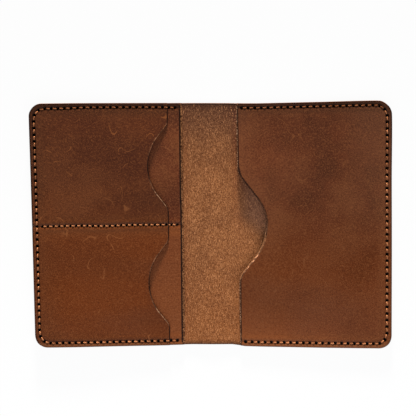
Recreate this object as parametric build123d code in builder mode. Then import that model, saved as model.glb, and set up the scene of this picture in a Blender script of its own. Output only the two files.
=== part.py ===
"""Passport holder: one folding leather cover, with a passport pocket on one side and two layers of
card pockets on the other, saddle stitched by hand with waxed thread.

The holder lies open, grain side down. X runs across both covers, from the card side (-X) to the
passport side (+X), Y runs up the spine, and Z is up. The origin is the middle of the spine, on the
surface that the holder lies on. All sizes are in millimetres.
"""

from build123d import *

import os
from math import atan2, cos, degrees, pi, radians, sin, tan

# Leather
open_width = 223.0
height = 150.0
corner_radius = 8.0
cover_thickness = 1.6
pocket_thickness = 1.2

# Pockets: where each mouth lies, from the middle of the spine, and the clear height inside
passport_mouth = 17.5
passport_clear_height = 4.6
rear_mouth = 18.5
front_mouth_step = 8.0
card_clear_height = 1.4

# Shape of the pockets: flat along the seams, sloping up beside them, level between
passport_seam_land = 2.0
card_seam_land = 3.0
divider_land = 2.8
passport_slope_run = 6.5
card_slope_run = 6.0
passport_shoulder_radius = 8.0
card_shoulder_radius = 10.0
front_over_rear_clearance = 0.5

# Thumb notches, cut into the mouths
passport_notch_reach = 31.5
passport_notch_angle = 38.0
passport_notch_floor_radius = 28.0
passport_notch_lip_radius = 12.0
card_notch_reach = 26.2
card_notch_angle = 38.0
card_notch_floor_radius = 30.0
card_notch_lip_radius = 7.0

# Seams
seam_inset = 3.0
passport_seam_end = 2.6
card_seam_end = 3.1
divider_end = 2.5
seam_pitch = 4.0
divider_pitch = 3.5
hole_diameter = 1.4
thread_width = 0.8
thread_thickness = 0.45
leg_diameter = 0.72
stitch_gap = 0.5
groove_width = 1.8
groove_clearance = 0.1

# Folding
closed_clearance = 0.8

half_width = open_width / 2
half_height = height / 2
seam_x = half_width - seam_inset
seam_y = half_height - seam_inset
seam_corner_radius = corner_radius - seam_inset
front_mouth = rear_mouth + front_mouth_step
card_centre = seam_y / 2
groove_depth = thread_thickness + groove_clearance

rear_base = cover_thickness
front_base = rear_base + pocket_thickness
front_top = front_base + pocket_thickness
passport_top = cover_thickness + pocket_thickness
passport_stack = pocket_thickness + passport_clear_height
card_stack = 2 * (pocket_thickness + card_clear_height)
fold_x = (passport_stack + card_stack + closed_clearance) / 2
above_all = 2 * (passport_stack + card_stack)


def stations(start, end, pitch):
    """Distances from start to end, in equal steps as near to the pitch as they can be."""
    count = round(abs(end - start) / pitch)
    return [start + (end - start) * i / count for i in range(count + 1)]


def seam_holes(end_x):
    """Hole centres of a seam on the +X side: out along the top, down the outer edge and back."""
    run = seam_x - seam_corner_radius - end_x
    bend = pi * seam_corner_radius / 2
    half_length = run + bend + seam_y - seam_corner_radius
    holes = []
    for s in stations(-half_length, half_length, seam_pitch):
        side = 1 if s < 0 else -1
        d = half_length - abs(s)
        turn = min(max((d - run) / seam_corner_radius, 0), pi / 2)
        x = end_x + min(d, run) + seam_corner_radius * sin(turn)
        y = seam_y - seam_corner_radius * (1 - cos(turn)) - max(d - run - bend, 0)
        holes.append(Vector(x, side * y))
    return holes


passport_holes = seam_holes(passport_mouth + passport_seam_end)
card_holes = [Vector(-p.X, p.Y) for p in seam_holes(rear_mouth + card_seam_end)]
divider_holes = [
    Vector(x, 0) for x in stations(-seam_x, -rear_mouth - divider_end, divider_pitch)
][1:]
front_holes = [p for p in card_holes + divider_holes if -p.X > front_mouth]


def holes_through(holes):
    """Stitch holes through everything in the part that is open."""
    with Locations(*[(p.X, p.Y, 0) for p in holes]):
        Cylinder(hole_diameter / 2, above_all, mode=Mode.SUBTRACT)


def cover_outline():
    """The plan of the whole cover, in the sketch that is open."""
    RectangleRounded(open_width, height, corner_radius)


def side_of(x, side):
    """The rest of the plane beyond x on one side, as a rectangle kept from the open sketch."""
    with Locations((side * (abs(x) + half_width), 0)):
        Rectangle(open_width, 2 * height, mode=Mode.INTERSECT)


def seam_groove(end_x, side):
    """The channel outside the cover that keeps a seam's stitches off the table."""
    with BuildSketch() as channel:
        RectangleRounded(
            2 * seam_x + groove_width,
            2 * seam_y + groove_width,
            seam_corner_radius + groove_width / 2,
        )
        RectangleRounded(
            2 * seam_x - groove_width,
            2 * seam_y - groove_width,
            seam_corner_radius - groove_width / 2,
            mode=Mode.SUBTRACT,
        )
        side_of(end_x - groove_width / 2, side)
    extrude(channel.sketch, amount=groove_depth, mode=Mode.SUBTRACT)


def divider_groove():
    """The same channel for the divider's stitches."""
    low, high = divider_holes[0].X, divider_holes[-1].X
    with BuildSketch() as channel:
        with Locations(((low + high) / 2, 0)):
            SlotCenterToCenter(high - low, groove_width)
    extrude(channel.sketch, amount=groove_depth, mode=Mode.SUBTRACT)


def notch(mouth, centre, reach, angle, floor_radius, lip_radius):
    """One thumb notch, cut out of the open sketch of a pocket on the +X side."""
    apex = mouth + reach * tan(radians(angle))
    low, high = centre - reach - lip_radius, centre + reach + lip_radius
    with BuildLine() as edge:
        FilletPolyline(
            (mouth, low),
            (mouth, centre - reach),
            (apex, centre),
            (mouth, centre + reach),
            (mouth, high),
            radius=[lip_radius, floor_radius, lip_radius],
        )
        Polyline((mouth, high), (mouth - lip_radius, high), (mouth - lip_radius, low), (mouth, low))
    make_face(edge.edges(), mode=Mode.SUBTRACT)


def passport_notch():
    """The notch over the middle of the passport."""
    notch(
        passport_mouth,
        0,
        passport_notch_reach,
        passport_notch_angle,
        passport_notch_floor_radius,
        passport_notch_lip_radius,
    )


def card_notches():
    """The notches over the two front card pockets."""
    for centre in (-card_centre, card_centre):
        notch(
            front_mouth,
            centre,
            card_notch_reach,
            card_notch_angle,
            card_notch_floor_radius,
            card_notch_lip_radius,
        )


def pillow(base, rise, cells, land, run, radius):
    """The space under a pocket on the +X side: level inside its seams and sloping down to them."""
    far = seam_x - land
    with BuildPart() as space:
        with BuildSketch(Plane.XY.offset(base)):
            for low, high in cells:
                with Locations((0, (low + high) / 2)):
                    Rectangle(2 * far, high - low)
        extrude(amount=rise, taper=degrees(atan2(run, rise)))
        fillet(space.edges().group_by(Axis.Z)[-1], radius)
    return space.part


def raised_panel(base, mouth, space, notches=None):
    """Pocket leather on the +X side: its plan at the base, lifted to lie over the space."""
    with BuildPart() as panel:
        with BuildSketch(Plane.XY.offset(base)):
            cover_outline()
            side_of(mouth, 1)
        extrude(amount=pocket_thickness)
        with Locations((0, 0, pocket_thickness)):
            add(space)
        add(space, mode=Mode.SUBTRACT)
        with BuildSketch():
            cover_outline()
            side_of(mouth, 1)
            if notches:
                notches()
        extrude(amount=above_all, mode=Mode.INTERSECT)
    return panel.part


def card_side_tops(holes):
    """How high each stitch of the card side lies: on the front panel, or past its mouth."""
    return [
        front_top if -min(a.X, b.X) > front_mouth else front_base
        for a, b in zip(holes, holes[1:])
    ]


def stitch_plans(pairs):
    """The plan of the stitches between pairs of holes, in the open sketch."""
    for a, b in pairs:
        middle, step = (a + b) / 2, b - a
        angle = degrees(atan2(step.Y, step.X))
        with Locations(Location((middle.X, middle.Y, 0), (0, 0, angle))):
            Rectangle(step.length - stitch_gap, thread_width)


def thread(holes, tops):
    """One seam's thread: a leg down each hole, a stitch on the inside between each two holes, at
    its height in tops, and a stitch on the outside, in the groove."""
    levels = [max(tops[max(i - 1, 0) : i + 1]) for i in range(len(holes))]
    for level in sorted(set(levels)):
        with Locations(*[(p.X, p.Y, groove_depth / 2) for p, h in zip(holes, levels) if h == level]):
            Cylinder(
                leg_diameter / 2,
                level + thread_thickness / 2 - groove_depth / 2,
                align=(Align.CENTER, Align.CENTER, Align.MIN),
            )
    stitches = list(zip(holes, holes[1:], tops))
    for level in sorted(set(tops)):
        with BuildSketch(Plane.XY.offset(level)) as inside:
            stitch_plans([(a, b) for a, b, h in stitches if h == level])
        extrude(inside.sketch, amount=thread_thickness)
    with BuildSketch(Plane.XY.offset(groove_clearance)) as outside:
        stitch_plans([(a, b) for a, b, h in stitches])
    extrude(outside.sketch, amount=thread_thickness)


def card_cells(seam, divider):
    """The free width of the two card pockets, below and above the divider."""
    return [(-seam_y + seam, -divider), (divider, seam_y - seam)]


passport_space = pillow(
    cover_thickness,
    passport_clear_height,
    [(-seam_y + passport_seam_land, seam_y - passport_seam_land)],
    passport_seam_land,
    passport_slope_run,
    passport_shoulder_radius,
)
rear_space = pillow(
    rear_base,
    card_clear_height,
    card_cells(card_seam_land, divider_land),
    card_seam_land,
    card_slope_run,
    card_shoulder_radius,
)
front_seam_land = card_seam_land - front_over_rear_clearance
front_divider_land = divider_land - front_over_rear_clearance
front_space = pillow(
    front_base,
    2 * card_clear_height,
    card_cells(front_seam_land, front_divider_land),
    front_seam_land,
    card_slope_run,
    card_shoulder_radius,
)

with BuildPart() as cover_spine:
    with Locations((0, 0, cover_thickness / 2)):
        Box(2 * fold_x, height, cover_thickness)
cover_spine.part.label = "cover_spine"

with BuildPart() as cover_left:
    with BuildSketch():
        cover_outline()
        side_of(fold_x, -1)
    extrude(amount=cover_thickness)
    holes_through(card_holes + divider_holes)
    seam_groove(rear_mouth + card_seam_end, -1)
    divider_groove()
cover_left.part.label = "cover_left"

with BuildPart() as cover_right:
    with BuildSketch():
        cover_outline()
        side_of(fold_x, 1)
    extrude(amount=cover_thickness)
    holes_through(passport_holes)
    seam_groove(passport_mouth + passport_seam_end, 1)
cover_right.part.label = "cover_right"

with BuildPart() as passport_pocket:
    add(raised_panel(cover_thickness, passport_mouth, passport_space, passport_notch))
    holes_through(passport_holes)
passport_pocket.part.label = "passport_pocket"

with BuildPart() as rear_card_panel:
    mirror(raised_panel(rear_base, rear_mouth, rear_space), about=Plane.YZ)
    holes_through(card_holes + divider_holes)
rear_card_panel.part.label = "rear_card_panel"

with BuildPart() as front_card_panel:
    mirror(raised_panel(front_base, front_mouth, front_space, card_notches), about=Plane.YZ)
    holes_through(front_holes)
front_card_panel.part.label = "front_card_panel"


with BuildPart() as passport_seam_thread:
    thread(passport_holes, [passport_top] * (len(passport_holes) - 1))
passport_seam_thread.part.label = "passport_seam_thread"

with BuildPart() as card_seam_thread:
    thread(card_holes, card_side_tops(card_holes))
card_seam_thread.part.label = "card_seam_thread"

with BuildPart() as divider_thread:
    thread(divider_holes, card_side_tops(divider_holes))
divider_thread.part.label = "divider_thread"

os.makedirs("parts", exist_ok=True)
export_step(cover_spine.part, "parts/cover_spine.step")
export_step(cover_left.part, "parts/cover_left.step")
export_step(cover_right.part, "parts/cover_right.step")
export_step(passport_pocket.part, "parts/passport_pocket.step")
export_step(rear_card_panel.part, "parts/rear_card_panel.step")
export_step(front_card_panel.part, "parts/front_card_panel.step")
export_step(passport_seam_thread.part, "parts/passport_seam_thread.step")
export_step(card_seam_thread.part, "parts/card_seam_thread.step")
export_step(divider_thread.part, "parts/divider_thread.step")
print(f"fold lines at x = +-{fold_x:.2f}, gap between the covers when closed {2 * fold_x:.2f}")
print("holes:", len(passport_holes), "passport,", len(card_holes), "card,", len(divider_holes), "divider")
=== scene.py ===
# %% [markdown]
# # A leather passport holder
#
# The real holder is four pieces of oiled leather and three lengths of waxed thread. It lies open and
# almost flat, pockets up, and is seen from straight above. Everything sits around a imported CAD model,
# which gives the true sizes and the two bodies that fold. All lengths below are in millimetres until
# a mesh is written, because leather work is measured in them.

import math
from functools import partial

import bmesh
import bpy
import numpy as np
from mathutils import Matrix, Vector


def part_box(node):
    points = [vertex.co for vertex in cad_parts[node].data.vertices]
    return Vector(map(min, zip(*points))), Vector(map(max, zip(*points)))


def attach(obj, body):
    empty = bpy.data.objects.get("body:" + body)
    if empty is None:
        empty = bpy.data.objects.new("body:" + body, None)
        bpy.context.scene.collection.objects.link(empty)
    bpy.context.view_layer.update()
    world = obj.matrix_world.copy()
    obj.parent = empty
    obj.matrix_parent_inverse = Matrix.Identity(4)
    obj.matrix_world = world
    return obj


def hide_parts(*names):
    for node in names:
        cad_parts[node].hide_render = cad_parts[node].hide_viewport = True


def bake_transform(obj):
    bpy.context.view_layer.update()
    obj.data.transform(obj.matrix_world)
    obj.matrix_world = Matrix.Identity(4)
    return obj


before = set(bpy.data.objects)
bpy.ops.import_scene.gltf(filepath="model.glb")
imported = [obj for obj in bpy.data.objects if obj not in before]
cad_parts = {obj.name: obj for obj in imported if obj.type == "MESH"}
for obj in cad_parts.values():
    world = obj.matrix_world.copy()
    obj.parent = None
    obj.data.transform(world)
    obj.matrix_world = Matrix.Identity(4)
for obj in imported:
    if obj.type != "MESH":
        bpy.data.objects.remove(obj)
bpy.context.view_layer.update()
bpy.ops.object.select_all(action="DESELECT")

# %% [markdown]
# ## Sizes
#
# The outline, the mouths of the pockets and the cover's thickness are read from the CAD nodes. The
# rest are the working sizes of the craft: how thick the leather is, how far the seam lies from the
# edge, how far apart the pricking iron sets its holes.

# %% Sizes in millimetres
MM = 0.001


def node_box(node):
    """The two corners of a CAD node in millimetres."""
    low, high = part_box(node)
    return np.array(low) / MM, np.array(high) / MM


cover_low, cover_high = node_box("cover_left")
HALF_WIDTH, HALF_HEIGHT, COVER_THICK = -cover_low[0], cover_high[1], cover_high[2]
PASSPORT_MOUTH = node_box("passport_pocket")[0][0]
REAR_MOUTH = -node_box("rear_card_panel")[1][0]
FRONT_MOUTH = -node_box("front_card_panel")[1][0]
POCKET_THICK = 1.2
CORNER = 8.0
SEAM_INSET, SEAM_CORNER = 3.0, 6.4
SEAM_PITCH, DIVIDER_PITCH = 4.0, 3.5
PASSPORT_SEAM_END, CARD_SEAM_END, DIVIDER_END = 2.6, 3.1, 2.5  # from a mouth to its first hole
SEAM_X, SEAM_Y = HALF_WIDTH - SEAM_INSET, HALF_HEIGHT - SEAM_INSET
print("open", 2 * HALF_WIDTH, "x", 2 * HALF_HEIGHT, "mouths", PASSPORT_MOUTH, REAR_MOUTH, FRONT_MOUTH)

# %% [markdown]
# ## Where the stitch holes are
#
# A pricking iron sets holes in even steps along a line three millimetres inside the edge: along the
# top, round the corner, down the outer side and back. The divider is one straight row.

# %% Stitch holes
def stations(start, end, pitch):
    """Distances from start to end, in equal steps as near to the pitch as they can be."""
    return np.linspace(start, end, round(abs(end - start) / pitch) + 1)


def seam_holes(end_x):
    """Hole centres of a three-sided seam, on the side where X is positive, top end first."""
    radius = SEAM_CORNER
    run, bend = SEAM_X - radius - end_x, math.pi * radius / 2
    half_length = run + bend + SEAM_Y - radius
    s = stations(-half_length, half_length, SEAM_PITCH)
    d = half_length - abs(s)
    turn = np.clip((d - run) / radius, 0, math.pi / 2)
    x = end_x + np.minimum(d, run) + radius * np.sin(turn)
    y = SEAM_Y - radius * (1 - np.cos(turn)) - np.maximum(d - run - bend, 0)
    return np.column_stack([x, np.where(s < 0, y, -y)])


passport_holes = seam_holes(PASSPORT_MOUTH + PASSPORT_SEAM_END)
card_holes = seam_holes(REAR_MOUTH + CARD_SEAM_END)
divider_x = stations(SEAM_X, REAR_MOUTH + DIVIDER_END, DIVIDER_PITCH)[1:]
divider_holes = np.column_stack([divider_x, np.zeros(len(divider_x))])
print("holes", len(passport_holes), len(card_holes), len(divider_holes))

# %% [markdown]
# ## How the leather lies
#
# Each pocket is flat where it is sewn and lifts between the seams, most of all at its mouth. The
# lift is a height for each point, written once here, so that the leather, the thread and the layer
# above all agree. Left and right are worked out on the positive side and mirrored at the end. Two
# small curves do all the shaping: a soft step, and a hump that fades on both sides.

# %% Heights of the layers
def smooth(t):
    """0 below 0, 1 above 1 and a soft step between."""
    t = np.clip(t, 0, 1)
    return t * t * (3 - 2 * t)


def hump(distance, width):
    """1 at no distance, fading softly over the width on both sides."""
    return np.exp(-((distance / width) ** 2))


def lift(x, y, mouth, at_mouth, far, land, runs, divided=False):
    """Clear height under a pocket: none on its seams, least at its far end, most at its mouth. The
    land is flat beside a seam, and the runs are the lengths of the slope at the mouth and far from it."""
    inward = np.clip((x - mouth) / (SEAM_X - mouth), 0, 1)
    run = runs[1] + (runs[0] - runs[1]) * (1 - inward) ** 2
    across = smooth((SEAM_X - land - x) / runs[1])
    along = smooth((SEAM_Y - land - abs(y)) / run)
    if divided:
        along = along * smooth((abs(y) - land) / run)
    sway = 0.12 * np.sin(0.071 * x + 0.9) * np.sin(0.052 * y + 0.4)  # no pocket is an even dome
    return across * along * (far + (at_mouth - far) * (1 - smooth(1.6 * inward))) * (1 + sway)


def under_passport(x, y):
    return COVER_THICK + lift(x, y, PASSPORT_MOUTH, at_mouth=4.2, far=2.6, land=2.0, runs=(46.0, 34.0))


def under_rear(x, y):
    return COVER_THICK + lift(
        x, y, REAR_MOUTH, at_mouth=1.0, far=0.3, land=2.6, runs=(24.0, 16.0), divided=True)


def under_front(x, y):
    return COVER_THICK + POCKET_THICK + lift(
        x, y, FRONT_MOUTH, at_mouth=2.2, far=0.6, land=2.2, runs=(24.0, 16.0), divided=True)


print("passport lift", round(float(under_passport(25, 0) - COVER_THICK), 2))

# %% [markdown]
# ## How the whole holder lies
#
# Leather that is carried for years is no longer a true rectangle: its sides lean, its edges bow by
# a millimetre and its outer edges rise from the table. This last step moves every point of every
# piece alike, so nothing that was sewn together comes apart. The top and the bottom edge are read
# from a few heights along the width, and the rest is made of humps and steps.

# %% Lay the holder down
LIE_X = [-110, -100, -85, -60, -30, -12, 12, 20, 30, 45, 70, 90, 110]
LIE_TOP = [74.5, 74.6, 74.8, 74.95, 75.05, 75.2, 75.15, 74.95, 74.95, 75.3, 75.85, 76.4, 76.8]
LIE_BOTTOM = [-75.8, -75.75, -75.6, -75.1, -74.6, -74.1, -74.1, -75.2, -75.5, -75.75, -76.2, -76.4, -76.55]


def crept(x, y, t, v):
    """How far a point has moved sideways: the sides lean and bow, and the mouths have crept."""
    left = x < 0
    lean = np.where(left, -0.009 - 0.021 * t**2, -0.014 * (1 - t**2))
    bow = np.where(left, 0.85 * t**2, t**2 * (0.35 * smooth((v - 0.3) / 0.5) - 0.3))
    passport_top = 0.5 * hump(x - 20, 16) * smooth((v - 0.1) / 0.5)
    notch_floor = 0.4 * hump(x - 34, 13) * smooth((v + 0.4) / 0.4) * (1 - smooth((v - 0.35) / 0.3))
    rear_mouth = (0.35 + 0.3 * smooth(v / 0.3)) * hump(x + 18, 7)
    return lean * y + bow - passport_top - notch_floor - rear_mouth


def stretched(x, y, t, v):
    """The new height of a point between the top and the bottom edge."""
    top, bottom = np.interp(x, LIE_X, LIE_TOP), np.interp(x, LIE_X, LIE_BOTTOM)
    middle = np.where(x < 0, -1.4 * t**2 - 0.5 * hump(x + 66, 9), -1.0 * hump(x - 28, 18))
    upper_left = (0.25 * smooth((-18 - x) / 20) - 0.7 * smooth((-72 - x) / 20)) * (y > 0)
    seams = np.sign(y) * (0.25 + upper_left) * hump(abs(y) - SEAM_Y + 0.5, 2)
    return v * (top - bottom) / 2 + v**2 * (top + bottom) / 2 + (1 - v**2) * middle + seams


def lie(points):
    """The points of a flat holder, moved to where they lie after use."""
    x, y, z = points.T
    t, v = x / HALF_WIDTH, y / HALF_HEIGHT   # from -1 to 1, across and up
    rubbed = 0.75 * hump(np.hypot(x - HALF_WIDTH, y - HALF_HEIGHT), 6)  # the top right corner is worn
    edge_lift = 1.6 * smooth((abs(x) - 25) / 95) * (1 + 0.35 * np.sin(0.045 * y + 2.0 * t))
    arch = 0.5 * (1 - smooth(abs(x) / 16)) * (1 + 0.3 * np.sin(0.06 * y))  # the spine stands off the table
    return np.column_stack([
        x + crept(x, y, t, v) - rubbed, stretched(x, y, t, v) - rubbed, z + edge_lift + arch])


corner = lie(np.array([[HALF_WIDTH, HALF_HEIGHT, 0.0]]))[0]
print("top right corner lies at", corner.round(2).tolist())

# %% [markdown]
# ## The thumb notches
#
# A notch is a shallow V with a round floor and rounded lips. Its depth along the mouth is made of
# an arc, a straight flank and an arc the other way, so one small function says how far the leather
# is cut back at each height.

# %% Notch outlines
def notch_depth(y, centre, reach, angle, floor_radius, lip_radius):
    """How far a mouth is cut back at each y."""
    t, tilt = abs(y - centre), math.radians(angle)
    floor = reach * math.tan(tilt) - floor_radius / math.cos(tilt)
    lip_end = reach + lip_radius * math.tan(tilt / 2)
    lip_start = lip_end - lip_radius * math.sin(tilt)
    on_floor = floor + np.sqrt(np.maximum(floor_radius**2 - t**2, 0))
    on_lip = lip_radius - np.sqrt(np.maximum(lip_radius**2 - (lip_end - t) ** 2, 0))
    flank = (reach - t) * math.tan(tilt)
    spans = [t < floor_radius * math.sin(tilt), t < lip_start, t < lip_end]
    return np.select(spans, [on_floor, flank, on_lip], 0)


def no_notch(y):
    return 0 * y


def passport_notch(y):
    return notch_depth(y, centre=0, reach=31.5, angle=38.0, floor_radius=28.0, lip_radius=12.0)


def card_notches(y):
    return notch_depth(abs(y), centre=SEAM_Y / 2, reach=26.2, angle=38.0, floor_radius=30.0, lip_radius=7.0)


print("notches cut", float(passport_notch(np.array(0.0))), float(card_notches(np.array(SEAM_Y / 2))))

# %% [markdown]
# ## One sheet of leather
#
# Every piece of leather here starts as a grid. Its lines are packed close along the seams and the
# edges, where the leather is pressed and cut, and wide in between. The corners are rounded ring by
# ring, so the lines follow the edge as a skived seam does, and the mouth is pushed back to make the
# notch. Then the sheet is extruded to its thickness and its cut edges are beveled, as they are with
# an edge beveler on the bench.

# %% Grid lines and round corners
def spread(start, end, spots, fine=0.42, coarse=1.25, reach=5.0):
    """Grid lines from start to end, closest together at the spots."""
    lines = [start]
    while lines[-1] < end:
        nearest = min(abs(lines[-1] - spot) for spot in spots)
        lines.append(lines[-1] + fine + (coarse - fine) * smooth((nearest - 1.0) / reach))
    lines = np.array(lines)
    return start + (lines - start) * (end - start) / (lines[-1] - start)


def round_corner(x, y):
    """Moves the points of a square-cornered sheet so that its outer corners have their radius."""
    a, b = HALF_HEIGHT - abs(y), HALF_WIDTH - x
    ring, along = np.minimum(a, b), abs(a - b)
    radius, blend_length = np.maximum(CORNER - ring, 0), 3 * CORNER
    arc = radius * math.pi / 4
    s = along * (arc + blend_length - radius) / blend_length
    s = np.where(along < blend_length, s, along - radius + arc)
    turn = math.pi / 4 - np.minimum(s, arc) / np.maximum(radius, 1e-9)
    near = ring + radius * (1 - np.cos(turn))
    far = ring + radius * (1 - np.sin(turn)) + np.maximum(s - arc, 0)
    swap = a > b
    return HALF_WIDTH - np.where(swap, near, far), np.sign(y) * (HALF_HEIGHT - np.where(swap, far, near))


print("a pocket would get", len(spread(PASSPORT_MOUTH, HALF_WIDTH, [SEAM_X])), "columns")

# %% Select, add, edit and move
def select_only(*objects):
    """Selects these objects and makes the first one active."""
    bpy.ops.object.select_all(action="DESELECT")
    for obj in objects:
        obj.select_set(True)
    bpy.context.view_layer.objects.active = objects[0]


def primitive(operator, **settings):
    """Adds a primitive while nothing else is selected."""
    bpy.ops.object.select_all(action="DESELECT")
    operator(**settings)
    return bpy.context.object


def edit_all(obj, *operators):
    """Runs mesh operators on the whole of an object."""
    select_only(obj)
    bpy.ops.object.mode_set(mode="EDIT")
    bpy.ops.mesh.select_all(action="SELECT")
    for operator in operators:
        operator()
    bpy.ops.object.mode_set(mode="OBJECT")


def coordinates(obj):
    """The vertices of a mesh, in millimetres."""
    co = np.empty(len(obj.data.vertices) * 3)
    obj.data.vertices.foreach_get("co", co)
    return co.reshape(-1, 3) / MM


def set_coordinates(obj, points):
    obj.data.vertices.foreach_set("co", (points * MM).ravel())
    obj.data.update()


print("a millimetre is", MM, "in a mesh")

# %% A flat sheet
NOTCH_FADE = 62.0  # the grid gives way to a notch over this width
CUT_EDGE = math.radians(50)  # sharper edges than this are cut edges


def flat_sheet(name, inner_x, thickness, edge_radius, notch, divided, open_side=False):
    """A sheet from inner_x to the outer edge, flat, with rounded corners and beveled edges."""
    columns = spread(inner_x, HALF_WIDTH, [inner_x + 1, SEAM_X, HALF_WIDTH])
    divider = [0.0] if divided else []
    rows = spread(-HALF_HEIGHT, HALF_HEIGHT, [-HALF_HEIGHT, -SEAM_Y, SEAM_Y, HALF_HEIGHT, *divider])
    nx, ny = len(columns) - 1, len(rows) - 1
    sheet = primitive(bpy.ops.mesh.primitive_grid_add, x_subdivisions=nx, y_subdivisions=ny, size=1)
    sheet.name = sheet.data.name = name
    points = coordinates(sheet) * MM
    x = columns[np.rint((points[:, 0] + 0.5) * nx).astype(int)]
    y = rows[np.rint((points[:, 1] + 0.5) * ny).astype(int)]
    x, y = round_corner(x, y)
    fade = np.clip(1 - (x - inner_x) / NOTCH_FADE, 0, 1) ** 2
    set_coordinates(sheet, np.column_stack([x + notch(y) * fade, y, 0 * x]))
    bpy.ops.object.mode_set(mode="EDIT")
    bpy.ops.mesh.select_all(action="SELECT")
    bpy.ops.mesh.extrude_region_move(TRANSFORM_OT_translate={"value": (0, 0, thickness * MM)})
    bpy.ops.mesh.select_all(action="SELECT")
    bpy.ops.mesh.normals_make_consistent(inside=False)
    bpy.ops.mesh.select_all(action="DESELECT")
    bpy.ops.mesh.select_mode(type="EDGE")
    bpy.ops.mesh.edges_select_sharp(sharpness=CUT_EDGE)
    if open_side:
        # The inner side of half a cover meets the other half, so it isn't beveled.
        edit = bmesh.from_edit_mesh(sheet.data)
        for edge in edit.edges:
            if all(abs(v.co.x / MM - inner_x) < 0.01 for v in edge.verts):
                edge.select = False
        bmesh.update_edit_mesh(sheet.data)
    bpy.ops.mesh.bevel(offset=edge_radius * MM, segments=3, profile=0.5, affect="EDGES")
    bpy.ops.object.mode_set(mode="OBJECT")
    print(name, "grid", nx, "x", ny, "faces", len(sheet.data.polygons))
    return sheet


# %% [markdown]
# ## Pricking the holes
#
# The holes are cut with a Boolean, because a real hole is a real shadow. One slanted oval punch is
# modelled, copied to every station of the seam and joined, and the sheet is cut once while it is
# still flat. The Manifold solver is the quick one, and every piece here is closed.

# %% Copy, join and punch
PUNCH_LENGTH = 8.0
PUNCH_OVAL, PUNCH_SLANT = (1.6, 1.95, 1), 0.35


def seam_angles(holes):
    """The direction of the seam at each hole."""
    step = np.gradient(holes, axis=0)
    return np.arctan2(step[:, 1], step[:, 0])


def joined(name, parts):
    """Joins objects into one with this name."""
    select_only(*parts)
    bpy.ops.object.join()
    parts[0].name = parts[0].data.name = name
    return parts[0]


def copies_joined(name, model, places):
    """Copies a mesh to each (x, y, z, turn) place and joins the copies into one object."""
    x, y, z = coordinates(model).T
    copies = []
    for *place, turn in places:
        copy = model.copy()
        copy.data = model.data.copy()
        bpy.context.scene.collection.objects.link(copy)
        c, s = math.cos(turn), math.sin(turn)
        set_coordinates(copy, np.column_stack([x * c - y * s, x * s + y * c, z]) + place)
        copies.append(copy)
    return joined(name, copies)


def punch(sheet, top, rows):
    """Cuts slanted oval holes into a flat sheet, along one or more seams, from below up to a height."""
    model = primitive(
        bpy.ops.mesh.primitive_cylinder_add, vertices=10, radius=0.5 * MM, depth=PUNCH_LENGTH * MM)
    points = coordinates(model) * PUNCH_OVAL
    points[:, 0] -= PUNCH_SLANT * points[:, 1]
    set_coordinates(model, points)
    places = [(x, y, top - PUNCH_LENGTH / 2, turn)
              for holes in rows for (x, y), turn in zip(holes, seam_angles(holes))]
    punches = copies_joined("punches", model, places)
    select_only(sheet)
    cut = sheet.modifiers.new("holes", "BOOLEAN")
    cut.operation, cut.solver, cut.object = "DIFFERENCE", "MANIFOLD", punches
    bpy.ops.object.modifier_apply(modifier="holes")
    for spare in (model, punches):
        bpy.data.objects.remove(spare)
    print(sheet.name, "holes", len(places), "faces", len(sheet.data.polygons))


# %% [markdown]
# ## Distances that the finish follows
#
# A burnished edge is dark as far as the burnisher reached, and a seam as far as its line is pressed.
# The distances to the edge, the seam, the mouth and the holes are kept on the mesh, so the finish
# can darken each exactly where it is.

# %% Distances on a sheet
FAR = 99.0


def gap_inside(x, y, inset, radius):
    """Distance inwards from a rounded rectangle that lies inset inside the cut outline."""
    a, b = HALF_HEIGHT - inset - abs(y), HALF_WIDTH - inset - abs(x)
    corner = radius - np.hypot(np.maximum(radius - a, 0), np.maximum(radius - b, 0))
    return np.where((a < radius) & (b < radius), corner, np.minimum(a, b))


def edge_gap(x, y):
    """Distance inwards from the cut edge."""
    return gap_inside(x, y, 0, CORNER)


def seam_gap(x, y, divided):
    """Distance to the nearest line of stitches."""
    gap = abs(gap_inside(x, y, SEAM_INSET, SEAM_CORNER))
    return np.minimum(gap, abs(y)) if divided else gap


def hole_gap(x, y, rows):
    """Distance to the nearest hole. Those of the divider, at Y zero, are a little finer."""
    near = np.full(len(x), FAR)
    for hx, hy in np.vstack(rows):
        finer = 0.2 if hy == 0 else 0.0
        near = np.minimum(near, np.hypot(x - hx, y - hy) + finer)
    return near


def mouth_slope(y, notch):
    """How steeply the mouth runs away from the fold."""
    return (notch(y + 0.05) - notch(y - 0.05)) / 0.1


def mouth_gap(x, y, mouth, notch):
    """Distance inwards from the cut mouth."""
    return (x - mouth - notch(y)) / np.hypot(1, mouth_slope(y, notch))


def keep(sheet, **distances):
    """Keeps numbers on the vertices of a sheet, each under its name."""
    for name, values in distances.items():
        attribute = sheet.data.attributes.new(name, "FLOAT", "POINT")
        attribute.data.foreach_set("value", np.clip(values, -FAR, FAR).astype(np.float32))


print("the seam lies", float(edge_gap(SEAM_X, 0.0)), "mm inside the edge")

# %% [markdown]
# ## The three pockets
#
# The passport pocket is one large panel on the right. The card side has two layers: a rear panel,
# and a front panel with two thumb notches that shares its seam and its divider. Each is cut and
# punched flat, and then shaped by moving its points: up to where the layer lies, down into the
# pressed line of the seam and into a small dimple at each hole. The left side is mirrored, and that
# turns its faces inside out, so they are flipped back.

# %% Lay a piece down
SMOOTH_BELOW = math.radians(38)


def lay_down(obj, points, left):
    """Puts a piece where it lies after use, mirrored if it belongs on the left."""
    set_coordinates(obj, lie(points * (-1, 1, 1) if left else points))
    if left:
        edit_all(obj, bpy.ops.mesh.flip_normals)


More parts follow.
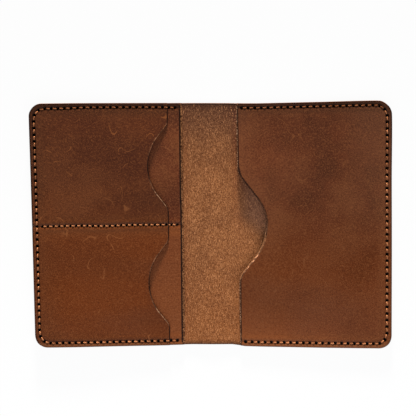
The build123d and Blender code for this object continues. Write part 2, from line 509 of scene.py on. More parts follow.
def lay_sheet(sheet, points, left):
    """Lays a sheet down and shades it smooth, except over its cut edges."""
    lay_down(sheet, points, left)
    select_only(sheet)
    bpy.ops.object.shade_smooth_by_angle(angle=SMOOTH_BELOW)
    print(sheet.name, "reaches a height of", round(float(coordinates(sheet)[:, 2].max()), 2))


# %% Make the pockets
PUNCHED_TO = 3.0  # right through a pocket
HOLE_ROOM = 1.5  # a hole this far outside a mouth still cuts it


def make_pocket(name, mouth, notch, base, skive, left, rows):
    """Cuts, punches and shapes a panel, whose mouth is skived aslant. Those on the left are divided."""
    panel = flat_sheet(name, mouth, POCKET_THICK, edge_radius=0.3, notch=notch, divided=left)
    punch(panel, PUNCHED_TO, [holes[holes[:, 0] > mouth - HOLE_ROOM] for holes in rows])
    x, y, z = coordinates(panel).T
    seam, hole, level = seam_gap(x, y, left), hole_gap(x, y, rows), z / POCKET_THICK
    gap, turn = mouth_gap(x, y, mouth, notch), mouth_slope(y, notch)
    # The brim is the upper flank of a mouth, which faces away from the light; the passport pocket's finish
    # lays painted shade along it.
    brim = gap + 4 * smooth((turn + 0.05) / 0.2)
    keep(panel, edge_gap=edge_gap(x, y), seam_gap=seam, hole_gap=hole, mouth_gap=gap,
         mouth_turn=turn, brim_gap=brim, level=level)
    # The thread presses the seam and its holes in, and the leather beside it puffs up. The divider
    # is drawn in half as deep again.
    pressed = 0.26 * hump(seam, 0.85) + 0.12 * hump(hole, 1.1)
    puffed = 0.10 * hump(seam - 2.2, 1.1)
    deeper = 1 + 0.5 * left * (1 - smooth(abs(y) / 6))
    # The mouth is cut at a slant, except along the upper flank of a notch.
    slant = 1 - smooth(notch(y) / 1.5) * (1 - smooth((turn + 0.02) / 0.2))
    slanted = x - skive * slant * (1 - level) * smooth((2.4 - gap) / 2.0)
    height = z + base(x, y) + (puffed - pressed) * deeper * level
    lay_sheet(panel, np.column_stack([slanted, y, height]), left)
    return panel


card_rows = [card_holes, divider_holes]
passport_pocket = make_pocket("passport_pocket_leather", PASSPORT_MOUTH, passport_notch, under_passport,
                              skive=1.0, left=False, rows=[passport_holes])
rear_panel = make_pocket("rear_card_panel_leather", REAR_MOUTH, no_notch, under_rear,
                         skive=1.9, left=True, rows=card_rows)
front_panel = make_pocket("front_card_panel_leather", FRONT_MOUTH, card_notches, under_front,
                          skive=0.25, left=True, rows=card_rows)

# %% [markdown]
# ## The cover
#
# The cover is a single piece of leather, flesh side up, that folds along two lines beside the
# spine. It is made here as two halves that meet down the middle of the spine. On its outer side a
# groove takes the thread, so that the stitches do not rub on a pocket or a table.

# %% Make the cover
GROOVE = 0.5
COVER_PUNCHED_TO = 1.1  # from the outside, and short of the flesh side


def make_cover(name, rows, left):
    """Half of the cover: cut, punched and grooved while it is flat."""
    cover = flat_sheet(name, 0.0, COVER_THICK, edge_radius=0.4, notch=no_notch, divided=left, open_side=True)
    punch(cover, COVER_PUNCHED_TO, rows)
    x, y, z = coordinates(cover).T
    seam = seam_gap(x, y, left)
    sewn = (1 - smooth((seam - 0.55) / 0.5)) * (x > PASSPORT_MOUTH - 0.5)
    z = z + GROOVE * sewn * (1 - z / COVER_THICK)
    keep(cover, edge_gap=edge_gap(x, y), seam_gap=seam, hole_gap=hole_gap(x, y, rows),
         mouth_gap=FAR + 0 * x, brim_gap=FAR + 0 * x, level=z / COVER_THICK)
    lay_sheet(cover, np.column_stack([x, y, z]), left)
    return cover


cover_right = make_cover("cover_right_leather", [passport_holes], left=False)
cover_left = make_cover("cover_left_leather", card_rows, left=True)

# %% [markdown]
# ## The stitches
#
# A saddle stitch comes up through one hole, lies along the leather and goes down through the next.
# One stitch is modelled: a small grid rolled into a tube, arched over the leather, with its ends
# closed below the surface. It is copied from hole to hole, on the pocket side and in the groove
# outside. It lies a little aslant, since each hole is slanted.

# %% Model one stitch
# Each ring of the tube: how far along the pitch it is, its height and its radius.
STITCH_RINGS = np.array([
    (-0.335, -1.3, 0.0), (-0.315, -0.4, 0.30), (-0.265, 0.28, 0.37), (-0.16, 0.52, 0.40), (0, 0.42, 0.40),
    (0.15, 0.18, 0.39), (0.255, -0.15, 0.36), (0.31, -0.7, 0.29), (0.335, -1.3, 0.0)])
SIDES = 6


def one_stitch(pitch, squash):
    """A stitch along X, centred between its two holes, at its height over the leather."""
    steps = len(STITCH_RINGS) - 1
    stitch = primitive(
        bpy.ops.mesh.primitive_grid_add, x_subdivisions=steps, y_subdivisions=SIDES, size=1, calc_uvs=True)
    stitch.name = "one_stitch"
    points = coordinates(stitch) * MM
    along, height, radius = STITCH_RINGS[np.rint((points[:, 0] + 0.5) * steps).astype(int)].T
    turn = (points[:, 1] + 0.5) * 2 * math.pi
    set_coordinates(stitch, np.column_stack([
        along * pitch, radius * np.sin(turn), (height + radius * np.cos(turn)) * squash]))
    edit_all(stitch, lambda: bpy.ops.mesh.remove_doubles(threshold=0.01 * MM),
             bpy.ops.mesh.normals_make_consistent)
    bpy.ops.object.shade_smooth()
    return stitch


print("a stitch is", round((STITCH_RINGS[-1, 0] - STITCH_RINGS[0, 0]) * SEAM_PITCH, 2), "mm long")

# %% Sew the seams
TILT = 0.10  # how far a stitch lies aslant, in radians
SUNK = 0.3  # how deep it is drawn into the leather
OVER, UNDER = 0.85, -0.5  # how high it arches on the pocket side, and upside down in the groove


def stitch_places(holes, surface):
    """The middle of each pair of holes, with the height of the leather and the stitch's turn."""
    middle, step = (holes[1:] + holes[:-1]) / 2, holes[1:] - holes[:-1]
    return [(x, y, surface(x, y), math.atan2(dy, dx) + TILT) for (x, y), (dx, dy) in zip(middle, step)]


def seam_thread(name, holes, pitch, top, left):
    """All the stitches of a seam, on the pocket side and in the groove of the cover."""
    rows = []
    for side, squash, surface in (("_inside", OVER, top), ("_outside", UNDER, lambda x, y: GROOVE)):
        stitch = one_stitch(pitch, squash)
        rows.append(copies_joined(name + side, stitch, stitch_places(holes, surface)))
        bpy.data.objects.remove(stitch)
    thread = joined(name, rows)
    lay_down(thread, coordinates(thread), left)
    print(name, "stitches", 2 * (len(holes) - 1), "faces", len(thread.data.polygons))
    return thread


def top_of_passport(x, y):
    return float(under_passport(x, y)) + POCKET_THICK - SUNK


def top_of_cards(x, y):
    """The front panel carries the stitches as far as its mouth, and the rear panel from there on."""
    front, rear = float(under_front(x, y)), float(under_rear(x, y))
    return rear + (front - rear) * float(smooth((x - FRONT_MOUTH + 0.6) / 1.2)) + POCKET_THICK - SUNK


passport_thread = seam_thread("passport_seam_stitches", passport_holes, SEAM_PITCH, top_of_passport, False)
card_thread = seam_thread("card_seam_stitches", card_holes, SEAM_PITCH, top_of_cards, True)
divider_thread = seam_thread("divider_stitches", divider_holes, DIVIDER_PITCH, top_of_cards, True)

# %% [markdown]
# ## Colour and one helper for nodes
#
# Colours are written as sRGB hex values, as a colour picker gives them, and turned to linear light
# by one function. Another adds a node with its settings and its links, so that one line here reads
# as one node does in the editor: an input has the name that it has there, or its place in the order.

# %% Colour and node helpers
def linear(hex_colour):
    """An sRGB hex colour as linear RGBA."""
    channels = [int(hex_colour[i:i + 2], 16) / 255 for i in (1, 3, 5)]
    return (*[c / 12.92 if c <= 0.04045 else ((c + 0.055) / 1.055) ** 2.4 for c in channels], 1)


def add_node(tree, kind, *inputs, stops=(), **named):
    """Adds a node. Inputs are values, nodes or sockets, in their order or by a name with a capital
    letter. Settings have names in small letters, and stops are the colours of a ramp."""
    node = tree.nodes.new("ShaderNode" + kind)
    for key in [key for key in named if key.islower()]:
        setattr(node, key, named.pop(key))
    for key, value in (*enumerate(inputs), *named.items()):
        if isinstance(key, str):
            names = [socket.name.replace(" ", "_") if socket.enabled else "" for socket in node.inputs]
            key = names.index(key)
        if isinstance(value, bpy.types.Node):
            value = next(socket for socket in value.outputs if socket.enabled)
        if isinstance(value, bpy.types.NodeSocket):
            tree.links.new(value, node.inputs[key])
        else:
            node.inputs[key].default_value = value
    for position, colour in stops:
        node.color_ramp.elements.new(position).color = linear(colour)
    if stops:
        node.color_ramp.elements.remove(node.color_ramp.elements[0])
        node.color_ramp.elements.remove(node.color_ramp.elements[-1])
    return node


def new_material(name):
    """A material with no nodes yet, and what adds a node to it."""
    material = bpy.data.materials.new(name)
    material.use_nodes = True
    material.node_tree.nodes.clear()
    return material, partial(add_node, material.node_tree)


def per(mm):
    """The scale of a noise or Voronoi texture whose features are this many millimetres wide."""
    return 1 / (mm * MM)


print("thread colour in linear light", [round(c, 3) for c in linear("#C88255")])

# %% [markdown]
# ## Coats of colour
#
# A leather worker builds a colour up in coats: dye, oil, wax, and the wear of the years. The materials
# do the same. A coat is one row of a table: what it follows, where it starts, where it is full, how
# much of it there is, and its colour. It may follow a distance that was kept on the mesh, such as
# the gap to the seam, or a place on the holder, in metres across or upward from its middle. Where
# the amount is three numbers, it changes with the height on the holder: it begins to change at the
# first, and runs from the second up to the third at the top seam.

# %% Lay coats over a colour
TOP_SEAM = 0.07


def read_place(add, *kept):
    """The place on the object, and what a coat may follow: across, upward and the kept distances."""
    place = add("TexCoord").outputs["Object"]
    source = {key: add("Attribute", attribute_name=key).outputs["Fac"] for key in kept}
    source["across"], source["upward"] = add("SeparateXYZ", Vector=place).outputs[:2]
    return place, source


def lay_coats(add, colour, source, coats):
    """Mixes each coat over the colour before it, with a soft border."""
    for key, start, full, amount, coat in coats:
        if isinstance(amount, tuple):
            begins, low, high = amount
            amount = add("MapRange", Value=source["upward"], From_Min=begins, From_Max=TOP_SEAM,
                         To_Min=low, To_Max=high)
        mask = add("MapRange", Value=source[key], From_Min=start, From_Max=full, To_Max=amount,
                   interpolation_type="SMOOTHSTEP")
        colour = add("Mix", Factor=mask, A=colour, B=linear(coat), data_type="RGBA")
    return colour


print("coats change up to", TOP_SEAM, "m above the middle")

# %% [markdown]
# ## Oiled pull-up leather, grain side
#
# Vegetable-tanned cowhide, full of oil and wax, milled smooth. The oils move when it is bent, so
# its brown is cloudy in patches of 3 to 10 mm. Its grain is a fine pebble with pores, and handling
# leaves faint light scratches. It is darkest where it is burnished at the edge and pressed along
# the seam, and these dark coats grow towards the top edge as painted shade. Over the whole face,
# painted shade makes the top darker and painted light makes the bottom paler. In the nodes a ramp
# gives the clouds their browns. Then come the coats of one panel, and over them the coats that
# every panel has. The shine is low and soft, from wax rather than lacquer.

# %% Grain leather material
THUMB = (0.036, 0.030, 0.004)  # where a thumb rests, in metres
CLOUD_RAMP = (0.385, 0.5, 0.615)
# The dark of the edges and seams is dye and painted shade, and the black of the holes is wax and painted
# shade.
SEAM_DYE_AND_SHADE, HOLE_WAX_AND_SHADE = "#26130B", "#040101"


def grain_leather(name, browns, pulled, scratched, burnt, pressed, moved, coats):
    """Smooth oiled leather: its browns, the colour of its specks, how clear its scratches are, how dark
    its edge and its seam are, which part of the hide it is cut from, and its own coats."""
    material, add = new_material(name)
    place, source = read_place(add, "edge_gap", "seam_gap", "hole_gap", "mouth_gap", "brim_gap")
    source["thumb"] = add("VectorMath", place, THUMB, operation="DISTANCE")
    # Clouds, where the oils have moved.
    hide = add("Mapping", Vector=place, Location=moved)
    drift = add("TexNoise", Vector=hide, Scale=per(22), Detail=2.0).outputs["Color"]
    bent = add("Mix", Factor=0.004, A=hide, B=drift, data_type="VECTOR")
    cloud = add("TexNoise", Vector=bent, Scale=per(26), Detail=5.0, Roughness=0.55)
    # Pores and specks. Real ones are 0.2 mm wide; these are drawn coarser so that they show.
    source["speck"] = add("TexNoise", Vector=place, Scale=per(0.9), Detail=4.0, Roughness=0.8)
    pebble = add("TexVoronoi", Vector=place, Scale=per(0.9), Randomness=1.0)
    # Scratches from handling: thin arcs along one height of a wide noise, left only in a few places.
    sweep = add("TexNoise", Vector=hide, Scale=per(15), Detail=1.0)
    arc = add("Math", sweep, 0.5, 0.009, operation="COMPARE")
    handled = add("TexNoise", Vector=bent, Scale=per(9), Detail=2.0)
    source["scratch"] = add("Math", arc, handled, operation="MULTIPLY")
    colour = add("ValToRGB", Fac=cloud, stops=zip(CLOUD_RAMP, browns))
    colour = lay_coats(add, colour, source, (
        *coats,
        ("upward", -0.05, 0.08, 0.34, "#452722"),  # painted shade: darker towards the top edge
        ("upward", 0.0680, 0.0715, 0.36, "#3A2417"),  # and a dark line of painted shade under the top seam
        ("speck", 0.46, 0.72, 0.75, pulled),  # pale specks
        ("speck", 0.50, 0.28, 0.75, "#40200F"),  # dark pores
        ("scratch", 0.53, 0.64, scratched, pulled),
        ("edge_gap", 3.2, 2.0, (0.02, 0.0, 0.42), SEAM_DYE_AND_SHADE),  # rubbed outside the seam, with painted shade that grows towards the top
        ("edge_gap", 1.4, 0.4, (-0.07, burnt, 0.8), SEAM_DYE_AND_SHADE),  # burnished at the edge, with painted shade that grows towards the top
        ("seam_gap", 1.6, 0.5, (*pressed, 0.48), SEAM_DYE_AND_SHADE),  # pressed along the seam, with painted shade in the pressed line that grows towards the top
        ("upward", -0.0722, -0.0740, 0.6, "#7E4C2E"),  # a painted highlight along the bottom edge
        ("hole_gap", 1.38, 1.02, 0.99, HOLE_WAX_AND_SHADE)))  # wax and shade in the holes
    # The pebble and the pores are pressed in, and the clouds are slack places in the leather.
    pits = add("Math", pebble, source["speck"], operation="ADD")
    fine = add("Bump", Height=pits, Strength=0.25, Distance=0.00012)
    bump = add("Bump", Height=cloud, Normal=fine, Strength=0.35, Distance=0.0012)
    # Where the oil has left the leather it is a little duller.
    rough = add("MapRange", Value=cloud, From_Min=0.35, From_Max=0.65, To_Min=0.66, To_Max=0.54)
    shader = add("BsdfPrincipled", Base_Color=colour, Roughness=rough, Normal=bump,
                 IOR=1.46, Specular_IOR_Level=0.12)
    add("OutputMaterial", Surface=shader)
    return material


print("the thumb rests", THUMB[0] / MM, "mm right of the middle and", THUMB[1] / MM, "mm above it")

# %% [markdown]
# ## The leather of each panel
#
# All four pieces are cut from one kind of leather, but each is a different part of the hide and has
# had its own wear, so each has its own browns and its own coats. The eye sees one family of browns:
# deep and a little grey at the top, redder in the middle, paler and warmer towards the bottom. The
# change from top to bottom is painted light and shade, and so are some coats along the mouths, the
# divider and the edges.

# %% Leather of the passport pocket
# The smoothest and deepest brown, with painted shade along the upper flank of its notch.
pocket_grain = grain_leather(
    "oiled_pull_up_leather_grain_side", browns=("#522914", "#603018", "#6E3D21"), pulled="#87522F",
    scratched=0.30, burnt=0.3, pressed=(0.02, 0.0), moved=(0, 0, 0), coats=(
        ("upward", 0.020, -0.030, 0.64, "#652C06"),  # painted light: a clearer, warmer brown towards the bottom edge
        # painted light: paler towards the bottom edge
        ("upward", -0.022, -0.068, 0.38, "#824628"),
        ("thumb", 0.029, 0.004, 0.34, "#8C4E2E"),  # rubbed by the thumb beside the notch
        ("seam_gap", 8.0, 2.2, 0.18, "#87522F"),  # stretched beside the seam, so paler
        ("mouth_gap", 13.0, 2.0, (-0.03, 0.0, 0.45), "#8A5434"),  # paler where a passport rubs it
        ("across", 0.074, 0.100, (-0.02, 0.0, 0.42), "#8B583B"),  # greyer in the outer top corner
        ("across", 0.058, 0.040, (-0.07, 0.26, -0.47), "#944E20"),  # painted light: warmer and paler at the bottom, inside
        ("across", 0.070, 0.088, (-0.07, 0.34, -1.36), "#4A2412"),  # darker at the bottom, outside
        ("brim_gap", 1.25, 0.6, (-0.04, 0.2, 1.6), "#160A05")))  # painted shade along the rim of the upper flank
print(pocket_grain.name)

# %% Leather of the front card panel
# Cut thinner, so redder where it is stretched over the cards.
card_grain = grain_leather(
    "oiled_pull_up_leather_card_side", browns=("#532711", "#603015", "#6E3B1D"), pulled="#864E2A",
    scratched=0.80, burnt=0.55, pressed=(0.0, 0.05), moved=(-0.34, 0.57, 0), coats=(
        ("upward", 0.012, 0.030, 0.25, "#3E1C10"),  # darker over the middle of the upper pocket
        ("upward", 0.061, 0.069, 0.30, "#6A381C"),
        # painted light: a clearer, warmer brown towards the bottom edge
        ("upward", 0.03, -0.03, 0.66, "#692B00"),
        ("seam_gap", 9.0, 2.2, 0.45, "#5E351A"),  # greyer beside the seam
        ("upward", 0.008, 0.002, 0.17, "#3F1A08"),  # painted shade above the divider, where the leather slopes away from the light
        ("upward", 0.0010, -0.0020, 0.24, "#8C4B22"),  # a painted highlight along its lower lip
        ("upward", -0.004, -0.014, 0.30, "#3F1404"),  # and darker again under it, where the painted highlight ends
        # painted light: paler towards the bottom edge
        ("upward", -0.026, -0.040, 0.22, "#7A3608"),
        ("across", -0.086, -0.103, (-0.06, 0.35, -0.35), "#4F2A14"),  # darker at the outer bottom corner
        ("edge_gap", 4.8, 3.4, 0.20, SEAM_DYE_AND_SHADE),  # pressed along the outer seam
        ("upward", -0.065, -0.0715, 0.30, "#3E2010"),  # and darker along the bottom edge
        ("mouth_gap", 5.0, 1.0, 0.15, "#4A2614")))
print(card_grain.name)

# %% Leather of the rear card panel
# Paler, for the front one keeps hands off most of it.
rear_grain = grain_leather(
    "oiled_pull_up_leather_rear_card_panel", browns=("#61311B", "#71391E", "#814927"), pulled="#945A35",
    scratched=0.35, burnt=0.3, pressed=(0.0, 0.05), moved=(-0.57, 0.15, 0), coats=(
        ("upward", 0.052, 0.066, 0.48, "#4E2A16"),  # painted shade, darker under the top seam
        ("upward", 0.036, 0.022, 0.48, "#461904"),  # and painted shade above the divider, where it is pulled down and slopes away from the light
        ("upward", 0.0010, -0.0030, 0.78, "#8C4B22"),  # a painted highlight below it
        # below the painted highlight the leather turns to an even brown
        ("upward", -0.003, -0.011, 0.96, "#6C371C"),
        # painted light: paler towards the bottom edge
        ("upward", 0.01, -0.07, 0.50, "#874821")))
print(rear_grain.name)

# %% Leather of the outside
# An even brown, the first thing that the eye meets on the closed holder.
cover_grain = grain_leather(
    "oiled_pull_up_leather_outer_grain", browns=("#552A15", "#613219", "#6E3E21"), pulled="#85502E",
    scratched=0.35, burnt=0.3, pressed=(-0.07, 0.1), moved=(0, 0, 0), coats=(
        # painted light: paler towards the bottom edge
        ("upward", 0.01, -0.07, 0.50, "#78421F"),
        ("seam_gap", 8.0, 2.2, 0.18, "#87522F")))
print(cover_grain.name)

# %% [markdown]
# ## Flesh side of the leather
#
# The inside of the cover shows the flesh side: a raw, brushed nap of short fibres, lighter and
# quite matt. The fibres lie in tufts about a millimetre across, so the colour is speckled and the
# surface catches light at grazing angles, which a little sheen gives. Two noises, stretched along
# two directions, stand for the fibres, and the higher of the two wins, as one fibre hides another.

# %% Flesh leather material
def flesh_leather(name, dark, middle, light):
    """Brushed nap: speckled tufts under crossing fibres, darker towards the top edge."""
    material, add = new_material(name)
    place, source = read_place(add, "edge_gap", "hole_gap")
    above = add("MapRange", Value=source["upward"], From_Min=-0.024, From_Max=0.006)
    source["in_notch"] = add("Math", source["across"], above, operation="MULTIPLY")
    tuft = add("TexNoise", Vector=place, Scale=per(0.8), Detail=6.0, Roughness=0.85)
    source["cloud"] = add("TexNoise", Vector=place, Scale=per(18), Detail=4.0, Roughness=0.6)
    # Fibres, drawn 0.5 mm wide where real ones are a tenth of that.
    lay, cross = [add(
        "TexNoise", Vector=add("Mapping", Vector=place, Rotation=(0, 0, turn), Scale=(1, 0.32, 1)),
        Scale=per(width), Detail=4.0, Roughness=0.7, Distortion=0.6)
        for turn, width in ((0.6, 0.5), (-0.8, 0.6))]
    source["fibre"] = add("Math", lay, cross, operation="MAXIMUM")
    colour = add("ValToRGB", Fac=tuft, stops=((0.37, dark), (0.5, middle), (0.63, light)))
    colour = lay_coats(add, colour, source, (
        ("cloud", 0.60, 0.38, 0.30, dark),  # handling
        ("upward", 0.0, -0.075, 0.30, "#8C4A18"),  # painted light: a warmer brown towards the bottom
        ("across", 0.0115, 0.0150, (-0.02, 0.0, 0.4), "#68241A"),  # redder beside the passport pocket
        ("across", -0.0125, -0.0155, 0.14, "#6A2A14"),  # and a little beside the card pockets
        ("in_notch", 0.014, 0.028, 0.24, "#9A7C72"),  # painted shade: greyer in the notch, the cool colour of the shadow of its lip
        ("across", 0.0170, 0.0195, (0.003, 0.0, 0.8), "#2A1820"),  # and a painted shadow under its upper flank
        ("upward", 0.030, 0.078, 0.60, "#1E121C"),  # darker towards the top edge
        ("upward", 0.0665, 0.0730, 0.35, "#3A1E14"),
        ("fibre", 0.56, 0.70, 0.85, light),  # pale tips of fibres
        ("fibre", 0.53, 0.44, 0.60, dark),  # the gaps between them
        ("edge_gap", 3.6, 0.9, 0.50, "#3A2216"),
        ("edge_gap", 1.3, 0.5, (-0.07, 0.35, 0.9), "#1C0E07"),  # edge dye that has crept into the nap, growing towards the top as painted shade
        # wax and painted shade in the holes
        ("hole_gap", 1.5, 1.0, 0.99, HOLE_WAX_AND_SHADE)))
    nap = add("Math", tuft, source["fibre"], operation="ADD")
    bump = add("Bump", Height=nap, Strength=0.8, Distance=0.0005)
    shader = add(
        "BsdfPrincipled", Base_Color=colour, Roughness=0.95, Normal=bump, Specular_IOR_Level=0.12,
        Sheen_Weight=0.12, Sheen_Roughness=0.5)
    add("OutputMaterial", Surface=shader)
    return material


# The brushed inside of the hide: matt, pale and speckled, the lightest thing the eye finds here.
flesh = flesh_leather("brushed_leather_flesh_side", "#5F331C", "#9A5E33", "#DA9563")
print("flesh", flesh.name)

# %% [markdown]
# ## Cut edges
#
# The outer edge is sanded, wetted and rubbed until its fibres close up: much darker than the face,
# nearly smooth, with fine lines along its layers. A mouth is left as the knife cut it. Its wall
# shows pale fibres standing out of a dark core, so the same material with other colours and another
# stretch of its noise makes both. Along the top, the upper rim of every edge has a painted
# highlight, a tan line where the raking lamp catches it.

# %% Edge material
# where the painted highlight on the top rim begins and is full, in metres up
TOP_HIGHLIGHT_FROM, TOP_HIGHLIGHT_FULL = 0.0730, 0.0745


def cut_edge(name, dark, light, roughness, stretch, start, full, *coats):
    """A cut edge: lines or specks of its fibres from dark to light, its coats, and a painted highlight on
    its top rim.
    """
    material, add = new_material(name)
    place, source = read_place(add, "level", "mouth_turn")
    top = add("MapRange", Value=source["upward"], From_Min=TOP_HIGHLIGHT_FROM, From_Max=TOP_HIGHLIGHT_FULL)
    source["top_rim_highlight"] = add("Math", top, source["level"], operation="MULTIPLY")
    layers = add("Mapping", Vector=place, Scale=stretch)
    lines = add("TexNoise", Vector=layers, Scale=per(0.9), Detail=4.0, Roughness=0.7)
    colour = add("ValToRGB", Fac=lines, stops=((start, dark), (full, light)))
    # the top rim gets a painted highlight, where the lamp catches it
    colour = lay_coats(add, colour, source, (*coats, ("top_rim_highlight", 0.55, 0.78, 0.9, "#A86636")))
    bump = add("Bump", Height=lines, Strength=0.4, Distance=0.0001)
    shader = add("BsdfPrincipled", Base_Color=colour, Roughness=roughness, Normal=bump,
                 IOR=1.46, Specular_IOR_Level=0.2)
    add("OutputMaterial", Surface=shader)
    return material


ALONG_THE_LAYERS, EVEN = (0.25, 0.25, 2.5), (1, 1, 1)
# Rubbed outer edge: a dark line with a dull gleam, streaked along its layers.
burnished = cut_edge("burnished_leather_edge", "#2C1810", "#754A30", 0.42, ALONG_THE_LAYERS, 0.38, 0.66)
# Passport mouth: raw, so pale fibres show as bright specks, except on the flank that faces up.
fibrous_edge = cut_edge("fibrous_leather_edge", "#57341F", "#F0B890", 0.9, EVEN, 0.50, 0.66,
                        ("mouth_turn", 0.0, 0.35, 0.6, "#94603A"))
# Rear card mouth: raw, with pale tips low on its slant and a dark line of dye under its rim.
matted_edge = cut_edge("matted_leather_edge", "#42210F", "#B87C50", 0.9, EVEN, 0.43, 0.65,
                       ("level", 0.60, 0.84, (-0.06, 0.55, 0.95), "#1E0C06"))
# Front card mouth: dyed after cutting, so it reads as a thin dark line.
dyed_edge = cut_edge("dyed_leather_edge", "#150A05", "#3A2014", 0.8, EVEN, 0.42, 0.68)
print("edges", [m.name for m in (burnished, fibrous_edge, matted_edge, dyed_edge)])

# %% [markdown]
# ## The rim of a notch
#
# Where a thumb rubs the rim of a card notch, the dye is gone and the pale leather shows. How much
# is gone depends on the way the rim runs, so its colour follows the slope that was kept on the
# mesh: from the flank that turns down (a slope of -0.8), over the straight mouth (0), to the one
# that turns up. On the passport notch the same slope carries painted light and shade: painted
# shade on the upper flank, which faces away from the lamp, and a painted highlight on the lower
# flank, which faces it.

# %% Rim material
STEEPEST = 0.8


def notch_rim(name, stops, *coats):
    """A rim whose colour follows its slope, with its coats."""
    material, add = new_material(name)
    place, source = read_place(add, "mouth_turn")
    share = add("MapRange", Value=source["mouth_turn"], From_Min=-STEEPEST, From_Max=STEEPEST)
    wear_and_painted_light = add("ValToRGB", Fac=share, stops=stops)
    source["fibre"] = add("TexNoise", Vector=place, Scale=per(2.0), Detail=4.0, Roughness=0.7)
    colour = lay_coats(add, wear_and_painted_light, source, coats)
    shader = add("BsdfPrincipled", Base_Color=colour, Roughness=0.85, Specular_IOR_Level=0.2)
    add("OutputMaterial", Surface=shader)
    return material


# Card notches: worn to a soft tan on their upper flank, dark in the middle.
card_rim = notch_rim(
    "card_notch_rim",
    ((0.02, "#A06C4A"), (0.22, "#9A6444"), (0.42, "#3A2014"), (0.5, "#1E0F08"),
     (0.60, "#2E180D"), (0.80, "#7E5238"), (0.98, "#A87C5C")),
    ("fibre", 0.54, 0.42, 0.8, "#2A150B"))
# Passport notch: painted shade all along its upper flank, and a painted highlight on the bare leather of the
# lower one.
passport_rim = notch_rim(
    "passport_notch_rim",
    ((0.10, "#1A0C06"), (0.50, "#24120A"), (0.62, "#3A2012"), (0.72, "#D48E60"), (0.98, "#EEA87C")),
    # the low end of the lower flank is paler, as part of its painted highlight
    ("upward", -0.026, -0.036, 0.6, "#80502F"), ("fibre", 0.61, 0.50, 0.88, "#341C10"))
print("rims", card_rim.name, passport_rim.name)

# %% [markdown]
# ## Waxed thread
#
# The thread is a two-ply waxed cord, 0.8 mm thick and tan. Its plies wind round each other about
# once a millimetre, and wax gives it a soft gloss. The pattern follows the UV map of the stitch,
# so each stitch has its twist along its own length: painted light on the crown of each ply and
# painted shade between them, and painted shade where the stitch is drawn into its hole. Handling
# has dirtied it in places, less so on the divider, which lies deeper. The top row is duller.

# %% Thread material
WINDS, PLIES = 4.0, 2.0  # turns along a stitch, and plies side by side


def waxed_thread(name, dark, light, soil_and_shade, soiled_share):
    """Two plies wound along the stitch, with painted light and shade on the twist, dirty in places."""
    material, add = new_material(name)
    uv = add("SeparateXYZ", Vector=add("UVMap", uv_map="UVMap")).outputs
    wind = add("Math", uv["X"], WINDS, operation="MULTIPLY")
    phase = add("Math", uv["Y"], PLIES, wind, operation="MULTIPLY_ADD")
    turn = add("Math", phase, 2 * math.pi, operation="MULTIPLY")
    ply = add("Math", turn, operation="SINE")
    place, source = read_place(add)
    soil = add("TexNoise", Vector=place, Scale=per(5.0), Detail=3.0)
    source.update(ply=ply, along=uv["X"], soil=soil)
    colour = lay_coats(add, linear(dark), source, (
        ("ply", -0.9, 0.2, 1.0, light),  # painted light on the crown of each ply, painted shade between plies
        ("along", 0.35, 0.85, 0.85, soil_and_shade),  # painted shade where it is drawn down into the leather
        ("soil", 0.45, 0.61, soiled_share, soil_and_shade),  # dirty stitches
        ("upward", 0.0690, 0.0705, 0.75, soil_and_shade)))  # the top row, which is duller
    bump = add("Bump", Height=ply, Strength=0.5, Distance=0.00012)
    shader = add(
        "BsdfPrincipled", Base_Color=colour, Roughness=0.5, Normal=bump, IOR=1.45, Specular_IOR_Level=0.25)
    add("OutputMaterial", Surface=shader)
    return material


# Tan linen with a soft gleam of wax: bright dashes with a fine twist.
seam_cord = waxed_thread("waxed_linen_thread", "#AC643A", "#FAA871", "#7A4422", 0.7)
divider_cord = waxed_thread("waxed_linen_divider_thread", "#B06A3E", "#FAA871", "#84502C", 0.25)
print("thread", seam_cord.name, divider_cord.name)

# %% [markdown]
# ## Each face gets its side of the leather
#
# A sheet of leather has a grain side, a flesh side and a cut edge. The faces are chosen by the way
# they point: the pockets show their grain upwards, and the cover shows it downwards. At a mouth the
# cut wall and the rim above it have finishes of their own.

# %% Assign the finishes
FACING = 0.9  # a face whose normal points further up or down than this is a side, not an edge
MOUTH_WALL, OUTER_EDGE = 0.40, 1.5  # as far as a mouth's wall and the outer edge reach
RIM = 0.76  # the rim is the wall above this level


def face_values(sheet, name):
    """The mean of an attribute over the corners of each face."""
    values = np.empty(len(sheet.data.vertices), np.float32)
    sheet.data.attributes[name].data.foreach_get("value", values)
    return np.array([values[polygon.vertices].mean() for polygon in sheet.data.polygons])


def finish_sheet(sheet, *finishes):
    """Gives the faces that look up, down and out, a mouth's wall and its rim their finishes."""
    sheet.data.materials.clear()
    for material in finishes:
        sheet.data.materials.append(material)
    normals = np.empty(len(sheet.data.polygons) * 3)
    sheet.data.polygons.foreach_get("normal", normals)
    z = normals.reshape(-1, 3)[:, 2]
    gap, edge, level = (face_values(sheet, name) for name in ("mouth_gap", "edge_gap", "level"))
    at_mouth = (gap < MOUTH_WALL) & (edge > OUTER_EDGE) & (z > -FACING)
    slots = np.where(z > FACING, 0, np.where(z < -FACING, 1, 2))
    slots = np.where(at_mouth, np.where(level > RIM, 4, 3), slots)
    sheet.data.polygons.foreach_set("material_index", slots.astype(np.int32))
    sheet.data.update()
    print(sheet.name, "faces of each finish", np.bincount(slots, minlength=len(finishes)).tolist())


finish_sheet(passport_pocket, pocket_grain, flesh, burnished, fibrous_edge, passport_rim)
finish_sheet(rear_panel, rear_grain, flesh, burnished, matted_edge, dyed_edge)
finish_sheet(front_panel, card_grain, flesh, burnished, dyed_edge, card_rim)
for cover in (cover_left, cover_right):
    finish_sheet(cover, flesh, cover_grain, burnished)
for thread in (passport_thread, card_thread, divider_thread):
    thread.data.materials.clear()
    thread.data.materials.append(divider_cord if thread is divider_thread else seam_cord)

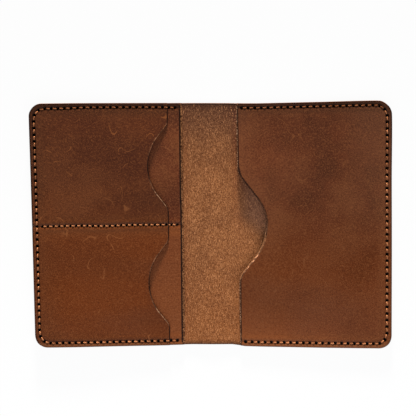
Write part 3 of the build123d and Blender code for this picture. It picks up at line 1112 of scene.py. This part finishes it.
# %% [markdown]
# ## How the pieces move
#
# The pockets and the stitches go with their half of the cover. The halves of the cover stay where
# they lie, their place baked into the mesh, and the CAD nodes that the pieces stand for are hidden.

# %% Ride and stand for the CAD nodes
for piece, body, node, slot in (
        (passport_pocket, "right_cover", "passport_pocket", "pocket_leather"),
        (rear_panel, "left_cover", "rear_card_panel", "pocket_leather"),
        (front_panel, "left_cover", "front_card_panel", "pocket_leather"),
        (passport_thread, "right_cover", "passport_seam_thread", "thread"),
        (card_thread, "left_cover", "card_seam_thread", "thread"),
        (divider_thread, "left_cover", "divider_thread", "thread")):
    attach(piece, body)
    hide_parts(node)
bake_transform(cover_left)
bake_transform(cover_right)
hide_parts("cover_left", "cover_spine")
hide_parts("cover_right")

# %% [markdown]
# ## The table
#
# The holder lies on a plain white table. Seen by the camera the table is plain white, as a product
# table lit from below would be, but to the light it is a matt white surface, so it takes the soft
# shadow of the holder and throws light back up. Light Path tells the two apart.

# %% Floor
TABLE_WIDTH, TABLE_BELOW = 60, 0.0001  # metres
TABLE_GLOW = 0.93  # the rest is its own shading, which shows the shadow

floor = primitive(bpy.ops.mesh.primitive_plane_add, size=TABLE_WIDTH, location=(0, 0, -TABLE_BELOW))
floor.name = "floor"
material, add = new_material("white_table")
shade = add("BsdfDiffuse", Color=linear("#F4F4F4"))
glow = add("Emission", Color=(1, 1, 1, 1), Strength=1.0)
rays = add("LightPath").outputs
seen = add("Math", rays["Is Camera Ray"], rays["Is Glossy Ray"], operation="MAXIMUM")
seen = add("Math", seen, rays["Is Transmission Ray"], operation="MAXIMUM")
share = add("Math", seen, TABLE_GLOW, operation="MULTIPLY")
table = add("MixShader", share, shade, glow)
add("OutputMaterial", Surface=table)
floor.data.materials.append(material)
print("table", floor.dimensions.x, "m wide")

# %% [markdown]
# ## The light
#
# Relief this low shows only in raking light. A softbox stands low beyond the top edge, 2.6 m away,
# so the mouths and the pressed seams cast short soft shadows towards the viewer's side. Its own
# reflection is left out, because in a low view its glare on the wax would hide the leather. A
# second softbox, near and weak, fills the shadows from the bottom edge and makes that end a little
# brighter. A pale sky does the rest.

# %% Light
def soft_light(name, place, target, size, power, colour):
    """A softbox at a place, turned to a target, in metres. The camera doesn't see it."""
    data = bpy.data.lights.new(name, "AREA")
    data.shape, data.size, data.size_y, data.energy = "RECTANGLE", size[0], size[1], power
    data.color = colour
    lamp = bpy.data.objects.new(name, data)
    lamp.visible_camera = False
    bpy.context.scene.collection.objects.link(lamp)
    lamp.location = place
    aim = Vector(target) - Vector(place)
    lamp.rotation_euler = aim.to_track_quat("-Z", "Y").to_euler()
    return lamp


key = soft_light("raking_key", place=(-0.05, 2.6, 0.53), target=(0, 0, 0), size=(0.35, 0.30),
                 power=131.0, colour=(1.0, 0.96, 0.89))
key.visible_glossy = False
soft_light("near_fill", place=(0.0, -0.25, 0.28), target=(0, -0.02, 0), size=(0.6, 0.35),
           power=1.25, colour=(0.97, 0.98, 1.0))
world = bpy.data.worlds.new("studio")
bpy.context.scene.world = world
world.use_nodes = True
world.node_tree.nodes.clear()
sky = add_node(world.node_tree, "Background", Color=(0.80, 0.90, 1.0, 1), Strength=0.20)
add_node(world.node_tree, "OutputWorld", Surface=sky)

# %% [markdown]
# ## The camera
#
# It looks straight down from 0.8 m, as over a copy stand, with a lens long enough to keep the
# edges parallel. The holder lies a little below the middle of the frame.

# %% Camera
VIEW_WIDTH, CAMERA_HEIGHT = 0.258, 0.8  # metres
SENSOR = 36  # millimetres
camera = bpy.data.objects.new("camera", bpy.data.cameras.new("camera"))
bpy.context.scene.collection.objects.link(camera)
camera.data.sensor_width = SENSOR
camera.data.lens = SENSOR * CAMERA_HEIGHT / VIEW_WIDTH
camera.location = (-0.0022, 0.0102, CAMERA_HEIGHT)
bpy.context.scene.camera = camera
bpy.context.scene.view_settings.view_transform = "Standard"
print("lens", round(camera.data.lens, 1), "mm")
